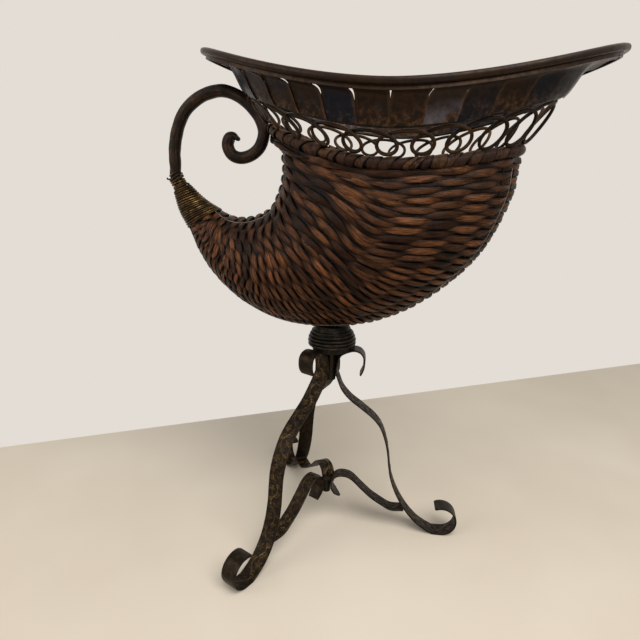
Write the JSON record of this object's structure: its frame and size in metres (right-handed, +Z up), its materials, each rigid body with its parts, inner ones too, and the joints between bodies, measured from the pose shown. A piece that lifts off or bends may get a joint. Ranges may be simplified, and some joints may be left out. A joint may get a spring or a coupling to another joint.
{
  "type": "cornucopia basket",
  "caption": "Horn-shaped woven basket with a looped reed course and flared sheet collar on a scrolled iron tripod; holds fruit, flowers or dry decorations.",
  "frame": {"origin": "middle of the bounding box's bottom, on the surface that the feet stand on", "axes": "+Z up, +X along the oval mouth away from the curled tail, +Y to the back"},
  "size_m": [0.4346, 0.2812, 0.5277],
  "materials": {
    "strap_iron": "dark brown iron with worn gold-bronze embossed vine",
    "wire_iron": "near-black round iron rod and wire, satin",
    "sheet_bronze": "patinated dark bronze-brown sheet",
    "winding_brass": "aged brass wire",
    "reed": "dark stained woven reed",
    "wrapped_reed": "dark stained flat reed wrapped round a rim",
    "fastener_steel": "plain steel"
  },
  "bodies": {
    "root": {"leg_front": "strap_iron", "leg_right": "strap_iron", "leg_back": "strap_iron", "stretcher_front": "strap_iron", "stretcher_right": "strap_iron", "stretcher_back": "strap_iron", "leg_post": "wire_iron", "hub_pin": "wire_iron", "neck_core": "wire_iron", "neck_coil": "wire_iron", "collar_hoop": "wire_iron", "scroll_rod": "wire_iron", "rim_lip": "sheet_bronze", "stave_01": "sheet_bronze", "stave_02": "sheet_bronze", "stave_03": "sheet_bronze", "stave_04": "sheet_bronze", "stave_05": "sheet_bronze", "stave_06": "sheet_bronze", "stave_07": "sheet_bronze", "stave_08": "sheet_bronze", "stave_09": "sheet_bronze", "stave_10": "sheet_bronze", "stave_11": "sheet_bronze", "stave_12": "sheet_bronze", "stave_13": "sheet_bronze", "stave_14": "sheet_bronze", "stave_15": "sheet_bronze", "stave_16": "sheet_bronze", "stave_17": "sheet_bronze", "stave_18": "sheet_bronze", "stave_19": "sheet_bronze", "stave_20": "sheet_bronze", "stave_21": "sheet_bronze", "stave_22": "sheet_bronze", "stave_23": "sheet_bronze", "stave_24": "sheet_bronze", "stave_25": "sheet_bronze", "stave_26": "sheet_bronze", "stave_27": "sheet_bronze", "stave_28": "sheet_bronze", "tail_winding": "winding_brass", "basket_body": "reed", "loop_course": "reed", "border_ring": "wrapped_reed", "inner_washer": "fastener_steel", "basket_bolt": "fastener_steel"}
  },
  "joints": []
}
